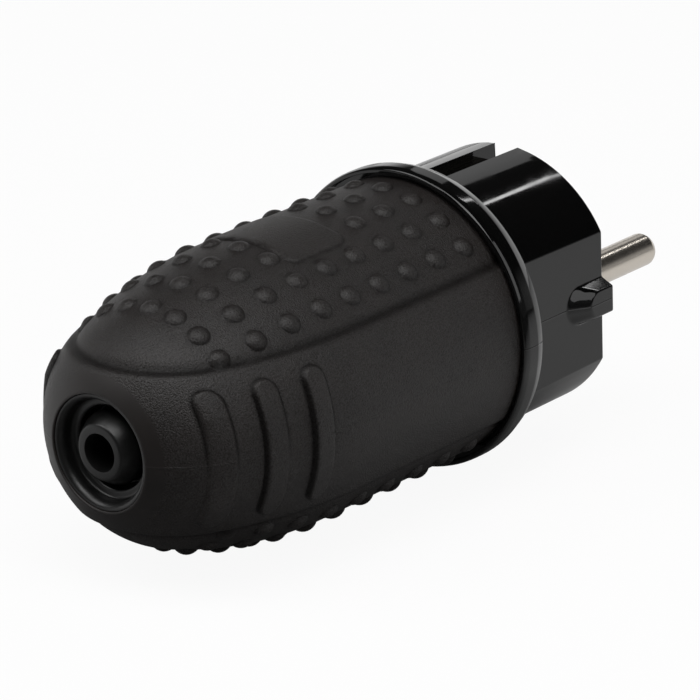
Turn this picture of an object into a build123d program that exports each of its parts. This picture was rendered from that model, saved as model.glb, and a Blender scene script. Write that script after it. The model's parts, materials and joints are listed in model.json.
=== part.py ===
"""Rewirable two-pole plug with side earth contacts: rubber hood on a rigid contact carrier.

X runs along the plug towards the pins, Z up through one earth slot. The origin is the centre
of the engagement face. Sizes are in millimetres.
"""

import os
from math import acos, asin, cos, degrees, radians, sin, tan

from build123d import *

os.makedirs("parts", exist_ok=True)

# Clearances
press_gap = 0.05
slide_gap = 0.1

# Pins
pin_d = 4.8
pin_spacing = 19.0
pin_length = 19.5
pin_tip = 0.7
shank_step = 0.4
shoulder_d = 8.0
shoulder_length = 3.0

# Carrier front
front_r = 19.2
front_draft = 0.12
front_length = 20.57
flat_across = 33.42
front_wall = 6.0
front_skin = 1.9
slot_width = 4.2
slot_depth = 3.0
web_thickness = 5.0
earth_boss_d = 9.0

# Guide lugs on the flats
lug_height = 1.95
lug_base_length = 8.2
lug_base_width = 5.6
lug_top_length = 5.0
lug_top_width = 3.8

# Flange with the cup for the hood's end
flange_width = 3.28
flange_edge = 0.4
lip_width = 0.75
lip_gap = 0.3
cup_depth = 1.0

# Carrier tail inside the hood
tail_wall = 2.7
tail_ring_length = 5.5
tail_end_gap = 4.0
groove_from_end = 1.9
groove_width = 1.5
groove_depth = 0.8

# Hood
hood_r = 20.8
hood_wall = 3.2
hood_straight = 31.15
crown_r = 66.0
crown_angle = 20.4
nose_r = 15.65
nose_rim = 0.25
nose_block = 13.9
seat_margin = 2.0
panel_drop = 0.5
crease_height = 11.4

# Grip bumps on the dotted panels
bump_d = 3.1
bump_height = 0.75
bump_taper = 42
bump_root = 0.3
bump_sides = 6
bump_from_end = 4.55
bump_pitch = 5.93
bump_row_angle = 14.8
bump_rows_beside = 3
plate_columns = (3, 4)
plate_rows = (-1, 0, 1)

# Finger bars on the side panels
bar_from_nose = 6.9
bar_pitch = 7.45
bar_count = 3
bar_width = 3.7
bar_length = 18.9
bar_height = 0.55

# Cable grommet in the nose
grommet_d = 16.0
grommet_set_back = 0.4
grommet_rim = 0.2
funnel_mouth_depth = 1.1
funnel_mouth_wall = 0.8
funnel_depth = 2.0
funnel_wall = 1.05
ledge_width = 1.15
trough_depth = 2.8
trough_width = 0.6
trough_draft = 0.1
sleeve_wall = 1.16
sleeve_set_back = 0.2
cable_hole_d = 5.34
grommet_flange_d = 21.0
grommet_flange_width = 2.0

# Earth bracket
strip_thickness = 0.8
strip_bend_r = 0.5
strip_from_face = 1.5
earth_pad_d = 9.0

# Terminal screws and clamp washers
screw_d = 4.0
screw_head_d = 6.4
screw_head_height = 2.2
screw_slot_width = 0.9
screw_slot_depth = 1.0
pin_screw_length = 6.5
earth_screw_length = 9.0
tapping_room = 1.5
washer_set_in = 0.2
washer_thickness = 1.0

# Cord clamp
clamp_length = 8.0
clamp_end = 3.6
clamp_height = 6.0
clamp_groove_r = 3.5
clamp_corner_r = 2.0
clamp_screw_d = 3.5
clamp_screw_inset = 4.3
clamp_screw_length = 14.0

# Places worked out from the sizes above
flange_x = -front_length
lip_x = flange_x - flange_width
hood_end_x = lip_x + cup_depth
flat_y = flat_across / 2
shank_d = pin_d + 2 * shank_step
washer_d = shoulder_d - 2 * washer_set_in
strip_width = slot_width - 2 * slide_gap
slot_floor = front_r - slot_depth
chamber_r = min(flat_y, slot_floor) - front_skin
hood_bore_r = hood_r - panel_drop - hood_wall
tail_r = hood_bore_r - slide_gap
tail_bore_r = tail_r - tail_wall
lip_inner_r = hood_r + lip_gap
flange_r = lip_inner_r + lip_width
tail_ring_x = hood_end_x - tail_ring_length
tail_end_x = hood_end_x - hood_straight + tail_end_gap
groove_x = hood_end_x - groove_from_end - groove_width / 2
bridge_x = flange_x - strip_thickness / 2
shoulder_x = -front_wall - shoulder_length
pin_seat_x = shoulder_x - washer_thickness
tapping_x = pin_seat_x + pin_screw_length + tapping_room
earth_washer_x = flange_x - strip_thickness
earth_seat_x = earth_washer_x - washer_thickness
grommet_r = grommet_d / 2
funnel_floor_r = grommet_r - funnel_wall
trough_r = funnel_floor_r - ledge_width - trough_draft
crown_start_x = hood_end_x - hood_straight
crown_end_x = crown_start_x - crown_r * sin(radians(crown_angle))
crown_end_r = hood_r - crown_r * (1 - cos(radians(crown_angle)))
mouth_r = grommet_r + nose_rim
nose_end_angle = degrees(acos(cos(radians(crown_angle)) - (crown_end_r - mouth_r) / nose_r))
nose_centre_x = crown_end_x + nose_r * sin(radians(crown_angle))
nose_centre_r = crown_end_r - nose_r * cos(radians(crown_angle))
nose_x = nose_centre_x - nose_r * sin(radians(nose_end_angle))
seat_x = nose_x + nose_block
clamp_x = tail_end_x + clamp_length / 2
clamp_screw_y = tail_bore_r - clamp_screw_inset
clamp_hole_depth = clamp_screw_length - clamp_height + tapping_room
reach = 2 * flange_r


def hood_section(inset):
    """Half-section of the hood's outside, every surface moved in by inset."""
    with BuildSketch() as section:
        with BuildLine():
            top = Line((hood_end_x, hood_r - inset), (crown_start_x, hood_r - inset))
            crown = JernArc(top @ 1, top % 1, crown_r - inset, crown_angle)
            nose = JernArc(crown @ 1, crown % 1, nose_r - inset, nose_end_angle - crown_angle)
            Polyline(nose @ 1, ((nose @ 1).X, 0), (hood_end_x, 0), top @ 0)
        make_face()
    return section.sketch


def hood_station(x, inset):
    """Radius at x of the hood's outside moved in by inset, and its slope in radians."""
    slope = asin(max(crown_start_x - x, 0) / (crown_r - inset))
    if slope <= radians(crown_angle):
        return hood_r - crown_r + (crown_r - inset) * cos(slope), slope
    slope = asin((nose_centre_x - x) / (nose_r - inset))
    return nose_centre_r + (nose_r - inset) * cos(slope), slope


def bump_planes(side, bare):
    """Planes on a dotted panel for its bumps; side is 1 on top and -1 below."""
    planes = []
    columns = int((hood_end_x - bump_from_end - crown_end_x) / bump_pitch) + 1
    for column in range(columns):
        x = hood_end_x - bump_from_end - column * bump_pitch
        radius, slope = hood_station(x, panel_drop)
        for row in range(-bump_rows_beside, bump_rows_beside + 1):
            if bare and column in plate_columns and row in plate_rows:
                continue
            turn = radians(row * bump_row_angle)
            out = Vector(0, sin(turn), side * cos(turn))
            planes.append(Plane(
                origin=out * radius + Vector(x, 0, 0),
                x_dir=(0, cos(turn), -side * sin(turn)),
                z_dir=out * cos(slope) - Vector(sin(slope), 0, 0),
            ))
    return planes


def facing_cable(x, y=0.0):
    """Plane across the plug at x, its normal pointing at the cable end."""
    return Plane(origin=(x, y, 0), x_dir=(0, 1, 0), z_dir=(-1, 0, 0))


def clamp_seat(y):
    """Plane on top of the cord clamp at y, its normal pointing up."""
    return Plane(origin=(clamp_x, y, clamp_height))


# Grip bump, a low faceted stud that the hood's panels repeat
with BuildPart() as bump:
    with BuildSketch(Plane.XY.offset(-bump_root)):
        RegularPolygon(bump_d / 2 + bump_root * tan(radians(bump_taper)), bump_sides)
    extrude(amount=bump_root + bump_height, taper=bump_taper)

# Finger bars, cut a bar height above the hood's surface
bar_places = [nose_x + bar_from_nose + bar_pitch * n for n in range(bar_count)]
with BuildPart() as finger_bars:
    with BuildSketch(Plane.XZ):
        with Locations(*[(x, 0) for x in bar_places]):
            SlotOverall(bar_length, bar_width, rotation=90)
    extrude(amount=reach, both=True)
    with BuildSketch(Plane.XZ):
        with BuildLine():
            bar_edges = [x + side * bar_width / 2 for x in bar_places for side in (-1, 1)]
            tops = [(x, hood_station(x, -bar_height)[0]) for x in bar_edges]
            Polyline((bar_edges[0], 0), *tops, (bar_edges[-1], 0), (bar_edges[0], 0))
        make_face()
    revolve(axis=Axis.X, mode=Mode.INTERSECT)

# Hood
with BuildPart() as hood:
    with BuildSketch(Plane.XZ):
        add(hood_section(0))
    revolve(axis=Axis.X)
    Box(4 * reach, reach, 2 * crease_height, mode=Mode.INTERSECT)
    with BuildSketch(Plane.XZ):
        add(hood_section(panel_drop))
    revolve(axis=Axis.X)
    add(finger_bars.part)
    with BuildSketch(Plane.XZ):
        with BuildLine():
            Polyline(
                (hood_end_x, 0),
                (hood_end_x, hood_bore_r),
                (crown_start_x, hood_bore_r),
                (seat_x, grommet_flange_d / 2 + seat_margin),
                (seat_x, 0),
                (hood_end_x, 0),
            )
        make_face()
    revolve(axis=Axis.X, mode=Mode.SUBTRACT)
    with BuildSketch(Plane.YZ.offset(nose_x)):
        Circle(grommet_r + press_gap)
    extrude(amount=2 * nose_block, mode=Mode.SUBTRACT)
    with BuildSketch(Plane.YZ.offset(groove_x)):
        Circle(tail_r + slide_gap)
        Circle(tail_r - groove_depth + slide_gap, mode=Mode.SUBTRACT)
    extrude(amount=groove_width / 2 - slide_gap, both=True)
    with Locations(*bump_planes(1, True), *bump_planes(-1, False)):
        add(bump.part)
hood.part.label = "hood"
export_step(hood.part, "parts/hood.step")

# Cable grommet
with BuildPart() as cable_grommet:
    rim_x = nose_x + grommet_set_back
    funnel_x = rim_x + funnel_depth
    trough_x = funnel_x + trough_depth
    with BuildSketch(Plane.XZ):
        with BuildLine():
            Polyline(
                (rim_x, grommet_r - grommet_rim),
                (rim_x, grommet_r),
                (seat_x, grommet_r),
                (seat_x, grommet_flange_d / 2),
                (seat_x + grommet_flange_width, grommet_flange_d / 2),
                (seat_x + grommet_flange_width, cable_hole_d / 2),
                (nose_x + sleeve_set_back, cable_hole_d / 2),
                (nose_x + sleeve_set_back, cable_hole_d / 2 + sleeve_wall),
                (trough_x, trough_r - trough_width),
                (trough_x, trough_r),
                (funnel_x, trough_r + trough_draft),
                (funnel_x, funnel_floor_r),
                (rim_x + funnel_mouth_depth, grommet_r - funnel_mouth_wall),
                (rim_x, grommet_r - grommet_rim),
            )
        make_face()
    revolve(axis=Axis.X)
cable_grommet.part.label = "cable_grommet"
export_step(cable_grommet.part, "parts/cable_grommet.step")

# Contact carrier
with BuildPart() as contact_carrier:
    with BuildSketch(Plane.XZ):
        with BuildLine():
            Polyline(
                (0, 0),
                (0, front_r),
                (flange_x, front_r + front_draft),
                (flange_x, flange_r),
                (lip_x, flange_r),
                (lip_x, lip_inner_r),
                (hood_end_x, lip_inner_r),
                (hood_end_x, tail_r),
                (tail_end_x, tail_r),
                (tail_end_x, 0),
                (0, 0),
            )
        make_face()
    revolve(axis=Axis.X)
    chamfer(
        contact_carrier.edges().filter_by(GeomType.CIRCLE).filter_by(
            lambda edge: abs(edge.radius - flange_r) < press_gap),
        flange_edge,
    )
    with BuildSketch(Plane.YZ):
        Rectangle(reach, reach)
        Rectangle(flat_across, reach, mode=Mode.SUBTRACT)
    extrude(amount=-front_length, mode=Mode.SUBTRACT)
    for height, length, width in (
        (flat_y, lug_base_length, lug_base_width),
        (flat_y + lug_height, lug_top_length, lug_top_width),
    ):
        with BuildSketch(Plane.XZ.offset(height)):
            Rectangle(length - width / 2, width, align=(Align.MAX, Align.CENTER))
            with Locations((width / 2 - length, 0)):
                Circle(width / 2)
    loft()
    mirror(contact_carrier.part, about=Plane.XZ)
    with BuildSketch(Plane.YZ.offset(-front_wall)):
        Circle(chamber_r)
        Rectangle(web_thickness, reach, mode=Mode.SUBTRACT)
        Circle(earth_boss_d / 2, mode=Mode.SUBTRACT)
        with Locations((-pin_spacing / 2, 0), (pin_spacing / 2, 0)):
            Circle(shoulder_d / 2 + slide_gap)
    extrude(amount=flange_x + front_wall, mode=Mode.SUBTRACT)
    with BuildSketch(Plane.YZ.offset(flange_x)):
        Circle(tail_bore_r)
    extrude(amount=tail_end_x + clamp_length - flange_x, mode=Mode.SUBTRACT)
    with BuildSketch(Plane.YZ):
        with Locations((-pin_spacing / 2, 0), (pin_spacing / 2, 0)):
            Circle(shank_d / 2 + press_gap)
    extrude(amount=-2 * front_wall, mode=Mode.SUBTRACT)
    with BuildSketch(facing_cable(flange_x)):
        Circle(screw_d / 2 + press_gap)
    extrude(amount=-earth_screw_length, mode=Mode.SUBTRACT)
    with BuildSketch(Plane.XZ):
        with Locations((flange_x, slot_floor)):
            Rectangle(reach, reach, align=(Align.MIN, Align.MIN))
        with Locations((tail_ring_x, 0)):
            Rectangle(
                flange_x - tail_ring_x,
                slot_floor + strip_thickness + slide_gap,
                align=(Align.MIN, Align.MIN),
            )
        with Locations((flange_x + strip_bend_r + slide_gap, slot_floor)):
            Rectangle(
                2 * strip_bend_r,
                2 * strip_bend_r,
                align=(Align.MAX, Align.CENTER),
            )
        mirror(about=Plane.XZ)
    extrude(amount=slot_width / 2, both=True, mode=Mode.SUBTRACT)
    with Locations((tail_ring_x, 0, 0)):
        Box(reach, reach, reach, align=(Align.MAX, Align.CENTER, Align.MIN), mode=Mode.SUBTRACT)
    with BuildSketch(Plane.YZ.offset(clamp_x)):
        Circle(clamp_groove_r)
    extrude(amount=clamp_length, both=True, mode=Mode.SUBTRACT)
    with BuildSketch(Plane.XY):
        with Locations((clamp_x, clamp_screw_y), (clamp_x, -clamp_screw_y)):
            Circle(clamp_screw_d / 2 + press_gap)
    extrude(amount=-clamp_hole_depth, mode=Mode.SUBTRACT)
    with BuildSketch(Plane.YZ.offset(groove_x)):
        Circle(tail_r + slide_gap)
        Circle(tail_r - groove_depth, mode=Mode.SUBTRACT)
    extrude(amount=groove_width / 2, both=True, mode=Mode.SUBTRACT)
contact_carrier.part.label = "contact_carrier"
export_step(contact_carrier.part, "parts/contact_carrier.step")

# Pins
for name, pin_y in (("left", pin_spacing / 2), ("right", -pin_spacing / 2)):
    with BuildPart() as pin:
        with BuildSketch(Plane.XZ.offset(-pin_y)):
            with BuildLine():
                Polyline(
                    (pin_length, 0),
                    (pin_length, pin_d / 2),
                    (0, pin_d / 2),
                    (0, shank_d / 2),
                    (-front_wall, shank_d / 2),
                    (-front_wall, shoulder_d / 2),
                    (shoulder_x, shoulder_d / 2),
                    (shoulder_x, screw_d / 2 + press_gap),
                    (tapping_x, screw_d / 2 + press_gap),
                    (tapping_x, 0),
                    (pin_length, 0),
                )
            outline = make_face()
            chamfer(outline.vertices().sort_by(Axis.X)[-2:].sort_by(Axis.Y)[-1], pin_tip)
        revolve(axis=Axis((0, pin_y, 0), (1, 0, 0)))
    pin.part.label = f"{name}_pin"
    export_step(pin.part, f"parts/{name}_pin.step")

# Earth bracket: one strip bent round the carrier's web, a contact leg in each slot
with BuildPart() as earth_bracket:
    with BuildSketch(Plane.XZ):
        with BuildLine():
            leg_z = slot_floor + strip_thickness / 2
            FilletPolyline(
                (-strip_from_face, leg_z),
                (bridge_x, leg_z),
                (bridge_x, -leg_z),
                (-strip_from_face, -leg_z),
                radius=strip_bend_r + strip_thickness / 2,
            )
        trace(line_width=strip_thickness)
    extrude(amount=strip_width / 2, both=True)
    with BuildSketch(Plane.YZ.offset(flange_x)):
        Circle(earth_pad_d / 2)
    extrude(amount=-strip_thickness)
    with BuildSketch(Plane.YZ.offset(flange_x)):
        Circle(screw_d / 2 + slide_gap)
    extrude(amount=-strip_thickness, mode=Mode.SUBTRACT)
earth_bracket.part.label = "earth_bracket"
export_step(earth_bracket.part, "parts/earth_bracket.step")

# Clamp washers, which hold the strands under the screw heads
for name, seat in (
    ("left_clamp_washer", facing_cable(shoulder_x, pin_spacing / 2)),
    ("right_clamp_washer", facing_cable(shoulder_x, -pin_spacing / 2)),
    ("earth_clamp_washer", facing_cable(earth_washer_x)),
):
    with BuildPart() as washer:
        with BuildSketch(seat):
            Circle(washer_d / 2)
            Circle(screw_d / 2 + slide_gap, mode=Mode.SUBTRACT)
        extrude(amount=washer_thickness)
    washer.part.label = name
    export_step(washer.part, f"parts/{name}.step")

# Cord clamp across the tail
with BuildPart() as cord_clamp:
    with BuildSketch():
        with Locations((clamp_x, 0)):
            RectangleRounded(clamp_length, 2 * (clamp_screw_y + clamp_end), clamp_corner_r)
            with Locations((0, clamp_screw_y), (0, -clamp_screw_y)):
                Circle(clamp_screw_d / 2 + slide_gap, mode=Mode.SUBTRACT)
    extrude(amount=clamp_height)
    with BuildSketch(Plane.YZ.offset(clamp_x)):
        Circle(clamp_groove_r)
    extrude(amount=clamp_length, both=True, mode=Mode.SUBTRACT)
cord_clamp.part.label = "cord_clamp"
export_step(cord_clamp.part, "parts/cord_clamp.step")

# Slotted screws: the head stands on its seat, the thread goes in below it
for name, seat, thread_d, length in (
    ("left_terminal_screw", facing_cable(pin_seat_x, pin_spacing / 2), screw_d, pin_screw_length),
    ("right_terminal_screw", facing_cable(pin_seat_x, -pin_spacing / 2), screw_d, pin_screw_length),
    ("earth_screw", facing_cable(earth_seat_x), screw_d, earth_screw_length),
    ("left_clamp_screw", clamp_seat(clamp_screw_y), clamp_screw_d, clamp_screw_length),
    ("right_clamp_screw", clamp_seat(-clamp_screw_y), clamp_screw_d, clamp_screw_length),
):
    with BuildPart() as screw:
        with BuildSketch(seat):
            Circle(screw_head_d / 2)
        extrude(amount=screw_head_height)
        with BuildSketch(seat.offset(screw_head_height)):
            Rectangle(screw_head_d, screw_slot_width)
        extrude(amount=-screw_slot_depth, mode=Mode.SUBTRACT)
        with BuildSketch(seat):
            Circle(thread_d / 2)
        extrude(amount=-length)
    screw.part.label = name
    export_step(screw.part, f"parts/{name}.step")
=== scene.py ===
"""Looks of a rewirable rubber plug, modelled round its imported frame.

Lengths are metres in the frame's axes: X along the plug towards its pins, Z up through an earth slot.
"""

import json
import math

import bmesh
import bpy
import numpy as np
from bpy.props import FloatProperty, FloatVectorProperty, IntProperty, PointerProperty
from mathutils import Matrix, Vector


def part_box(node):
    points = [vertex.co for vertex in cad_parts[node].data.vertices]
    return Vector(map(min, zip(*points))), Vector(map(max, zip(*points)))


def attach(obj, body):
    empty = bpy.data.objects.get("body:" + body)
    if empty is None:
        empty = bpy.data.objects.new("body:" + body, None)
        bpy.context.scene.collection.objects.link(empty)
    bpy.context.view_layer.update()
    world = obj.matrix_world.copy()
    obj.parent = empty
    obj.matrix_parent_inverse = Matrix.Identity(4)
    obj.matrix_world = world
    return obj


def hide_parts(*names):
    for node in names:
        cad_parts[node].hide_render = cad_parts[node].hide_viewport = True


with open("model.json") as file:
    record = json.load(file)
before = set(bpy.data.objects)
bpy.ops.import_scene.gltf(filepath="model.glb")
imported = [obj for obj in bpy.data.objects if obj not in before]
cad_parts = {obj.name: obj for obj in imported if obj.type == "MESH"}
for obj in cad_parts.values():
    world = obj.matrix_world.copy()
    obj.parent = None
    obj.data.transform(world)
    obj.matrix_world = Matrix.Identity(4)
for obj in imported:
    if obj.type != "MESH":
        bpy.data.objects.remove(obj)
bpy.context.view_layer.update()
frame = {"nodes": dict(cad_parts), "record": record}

bl_info = {
    "name": "Rubber plug",
    "version": (1, 0, 0),
    "blender": (4, 5, 0),
    "location": "View3D > Sidebar > Rubber plug",
    "description": "Models and finishes a rewirable rubber plug round its frame",
    "category": "Object",
}

MM = 0.001
TURN = 2 * math.pi
BODY = "root"
# Places closer than SAME count as one, and mesh points closer than MERGE are joined
SAME = 0.01 * MM
MERGE = 0.001 * MM
# The middle of what a noise texture gives, which is spread over a material's range
NOISE_SPAN = {"From Min": 0.3, "From Max": 0.7}
# Way to the room's dark side, roughly where the camera stands
DARK_SIDE = (-0.6, -0.8, 0.0)
SMALL_PARTS = {
    "left_clamp_washer": "plated_steel",
    "right_clamp_washer": "plated_steel",
    "earth_clamp_washer": "plated_steel",
    "left_terminal_screw": "plated_steel",
    "right_terminal_screw": "plated_steel",
    "earth_screw": "plated_steel",
    "left_clamp_screw": "plated_steel",
    "right_clamp_screw": "plated_steel",
    "cord_clamp": "clamp_plastic",
}


def linear(code):
    """Linear colour of an sRGB hex code."""
    values = [int(code[i:i + 2], 16) / 255 for i in (1, 3, 5)]
    return [v / 12.92 if v <= 0.04045 else ((v + 0.055) / 1.055) ** 2.4 for v in values]


def length(name, description, millimetres):
    """A length property, its default given in millimetres."""
    return FloatProperty(
        name=name, description=description, default=millimetres * MM, unit="LENGTH", precision=5)


def angle(name, description, degrees):
    """An angle property, its default given in degrees."""
    return FloatProperty(name=name, description=description, default=math.radians(degrees), unit="ROTATION")


def colour(name, description, code):
    """A colour property, its default given as an sRGB hex code."""
    return FloatVectorProperty(
        name=name, description=description, default=linear(code), subtype="COLOR", min=0, max=1)


class HoodSizes(bpy.types.PropertyGroup):
    """Sizes of the hood's outside"""
    radius: length("Radius", "Outside radius of the straight run", 20.8)
    straight: length("Straight run", "Length of the straight run behind the flange", 31.15)
    crown_radius: length("Crown radius", "Radius of the long arc towards the nose", 66)
    crown_angle: angle("Crown angle", "How far the long arc turns", 20.4)
    nose_radius: length("Nose radius", "Radius of the round nose", 15.65)
    bore: length("Bore", "Radius of the bore that slides over the carrier's tail", 17.1)
    bead: length("Bead", "Radius inside the bead that snaps into the carrier's groove", 16.3)
    bead_place: length("Bead place", "Middle of the bead, from the hood's end", 2.65)
    bead_width: length("Bead width", "Width of the bead", 1.3)
    cavity_end: length("Cavity end", "Radius of the cavity at the grommet's seat", 12.5)
    mouth: length("Mouth", "Radius of the hole for the grommet", 8.07)
    mouth_rim: length("Mouth rim", "Rounding of the mouth's edge", 0.18)
    nose_block: length("Nose block", "Rubber behind the nose, up to the grommet's seat", 13.9)
    panel_drop: length("Panel drop", "How far the dotted panels lie below the side panels", 0.5)
    crease: length("Crease height", "Height of the crease above the plug's middle", 11.4)
    crease_width: length("Crease width", "Width of the soft step at the crease", 1.2)
    valley_depth: length("Valley depth", "Depth of the valley at the crease's foot", 0.2)
    valley_width: length("Valley width", "Half the width of that valley", 0.6)
    # The dull band and dull line below are painted shade: colour and shine are darkened there
    shade_width: length("Dull width", "Half the width of the dull band along the crease", 0.6)
    shade_foot: length("Dull foot", "Half the width of the dull line round a raised form's foot", 0.2)
    bump_radius: length("Bump radius", "Radius of a grip bump at its foot", 1.55)
    bump_height: length("Bump height", "Height of a grip bump", 0.68)
    bump_foot: length("Bump foot", "Width of the rounding round a bump's foot", 0.16)
    bump_start: length("Bump start", "First column of bumps, from the hood's end", 4.55)
    bump_pitch: length("Bump pitch", "Distance from column to column", 5.93)
    bump_columns: IntProperty(name="Bump columns", description="Columns of bumps along the hood", default=9)
    bump_row: angle("Bump row", "Angle from row to row", 14.8)
    bump_rows: IntProperty(name="Rows beside", description="Rows each side of the middle one", default=3)
    plate_start: length("Plate start", "Edge of the bare plate, from the hood's end", 20.95)
    plate_length: length("Plate length", "Length of the bare plate along the hood", 11.7)
    plate_width: length("Plate width", "Width of the bare plate round the hood", 16.7)
    plate_height: length("Plate height", "How far the bare plate is raised", 0.25)
    plate_edge: length("Plate edge", "Width of the bare plate's edge", 0.22)
    plate_corner: length("Plate corner", "Corner radius of the bare plate", 2.0)
    bar_start: length("Bar start", "First finger bar, from the nose", 6.9)
    bar_pitch: length("Bar pitch", "Distance from bar to bar", 7.45)
    bar_count: IntProperty(name="Bars", description="Finger bars on each side", default=3)
    bar_width: length("Bar width", "Width of a finger bar", 3.7)
    bar_length: length("Bar length", "Length of a finger bar over its round ends", 18.9)
    bar_height: length("Bar height", "How far a finger bar is raised", 0.52)
    bar_lean: length("Bar lean", "How much higher a bar is at its nose side, and lower opposite", 0.22)
    bar_edge: length("Bar edge", "Width of a finger bar's crisp edge", 0.28)
    bar_slope: length("Bar slope", "Width of a finger bar's sloping wall at the nose's side", 0.6)
    gather: length("Gather", "How far from an edge mesh lines are drawn in towards it", 1.5)
    first_dip: length("First bar's dip", "How much lower the first bar's nose side is at its middle", 0.6)
    first_dip_reach: length("Dip reach", "How far that dip reaches up and down", 6)
    smooth_ring: length("Smooth ring", "Radius of the smooth ring round the mouth", 10.3)


class FrontSizes(bpy.types.PropertyGroup):
    """Sizes of the grommet, the carrier's edges and the pins"""
    grommet: length("Grommet", "Outside radius of the grommet in the nose", 8.0)
    hole: length("Cable hole", "Radius of the cable hole", 2.67)
    lip: length("Lip wall", "Wall of the sleeve at its lip", 1.16)
    lip_back: length("Lip set back", "How far the lip lies behind the nose", 0.2)
    flank: length("Flank", "Depth of the sleeve's flared flank behind its lip", 2.2)
    flank_edge: length("Flank edge", "Rounding of the flank's two edges", 0.3)
    rim_back: length("Rim set back", "How far the grommet's rim lies behind the nose", 0.25)
    rim: length("Rim", "Width of the grommet's rim", 0.1)
    mouth_depth: length("Mouth depth", "Depth of the funnel's round mouth behind the rim", 1.35)
    mouth_wall: length("Mouth wall", "Wall of the grommet behind its round mouth", 0.95)
    funnel: length("Funnel depth", "Depth of the funnel's floor behind the rim", 2.15)
    funnel_wall: length("Funnel wall", "Wall of the grommet at the funnel's floor", 1.05)
    ledge: length("Ledge", "Width of the ledge in the funnel", 1.15)
    ledge_edge: length("Ledge edge", "Rounding of the ledge's edges", 0.4)
    trough: length("Trough depth", "Depth of the groove round the sleeve", 2.8)
    trough_width: length("Trough width", "Width of that groove at its floor", 0.6)
    trough_draft: length("Trough draft", "How far that groove opens", 0.1)
    collar: length("Collar", "Width of the grommet's collar behind the nose", 2.0)
    edge: length("Carrier edge", "Rounding of the carrier's edges", 0.22)
    slot_edge: length("Slot edge", "Rounding of the earth slots' edges", 0.12)
    flange_back: length("Flange's back round", "Length of the round at the flange's back", 1.2)
    flange_back_drop: length("Back round's drop", "How far the flange's radius falls along that round", 0.5)
    flange_growth: length("Flange's growth", "How far the flange's front stands before the frame's", 1.1)
    flange_taper: length("Flange's taper", "Length of the taper at the flange's front", 1.58)
    flange_drop: length("Taper's drop", "How far the flange's radius falls along that taper", 0.53)
    flange_edge: length("Flange's front edge", "Rounding of the taper's two edges", 0.15)
    brim_edge: length("Brim edge", "Rounding of the inner edge of the flange's brim", 0.06)
    strip_edge: length("Strip edge", "Rounding of the earth strip's edges", 0.12)
    pin_tip: length("Pin tip", "Rounding that makes the bevel of a pin's tip round", 0.4)


class Finishes(bpy.types.PropertyGroup):
    """Colours of the materials"""
    hood_rubber: colour("Hood rubber", "Charcoal rubber with a moulded grain", "#15100E")
    grommet_rubber: colour("Grommet rubber", "Smooth black rubber", "#101010")
    carrier_plastic: colour("Carrier plastic", "Gloss black thermoset", "#070707")
    pin_nickel: colour("Pin nickel", "Nickel plate on brass", "#DDD5CA")
    strip_nickel: colour("Strip nickel", "Nickel plate on sprung brass", "#C9C2B4")
    screw_zinc: colour("Screw zinc", "Zinc plate on steel", "#B9BCBF")
    clamp_plastic: colour("Clamp plastic", "Matt black nylon", "#1E1E1F")
    floor_paper: colour("Floor paper", "White studio paper", "#F4F4F4")


class StageSizes(bpy.types.PropertyGroup):
    """The camera and the floor"""
    azimuth: angle("Azimuth", "Camera's turn about the plug, 0 looking along Y", -48.95)
    elevation: angle("Elevation", "Camera's height above the horizon", 20.5)
    roll: angle("Roll", "Camera's roll about its line of sight", -1.99)
    distance: length("Distance", "Camera's distance from its target", 678.1)
    target: FloatVectorProperty(
        name="Target", description="Point that the camera looks at",
        default=(-17.96 * MM, 15.12 * MM, -9.71 * MM), subtype="TRANSLATION", precision=5)
    lens: FloatProperty(
        name="Lens", description="Focal length on a 36 mm sensor, in millimetres", default=244.0)
    floor: length("Floor", "Side of the floor", 6000)


def add(tree, kind, sockets=None, **settings):
    """Adds a node with its own settings, and sets or links its input sockets."""
    made = tree.nodes.new(kind)
    for name, value in settings.items():
        setattr(made, name, value)
    for name, value in (sockets or {}).items():
        if isinstance(value, bpy.types.NodeSocket):
            tree.links.new(value, made.inputs[name])
        else:
            made.inputs[name].default_value = value
    return made


def new_material(name):
    """A new node material, its tree and its Principled shader."""
    made = bpy.data.materials.new(name)
    made.use_nodes = True
    tree = made.node_tree
    return made, tree, tree.nodes["Principled BSDF"]


def seam(tree, place, normal, width, height):
    """Adds the fine ridge that a mould leaves where its halves meet, at mid height, to a normal."""
    level = add(tree, "ShaderNodeSeparateXYZ", {"Vector": place}).outputs["Z"]
    apart = add(tree, "ShaderNodeMath", {0: level}, operation="ABSOLUTE").outputs["Value"]
    ridge = add(tree, "ShaderNodeMapRange", {
        "Value": apart, "From Min": 0, "From Max": width / 2, "To Min": 1, "To Max": 0})
    raised = add(tree, "ShaderNodeBump", {
        "Distance": height, "Height": ridge.outputs["Result"], "Normal": normal})
    return raised.outputs["Normal"]


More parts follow.
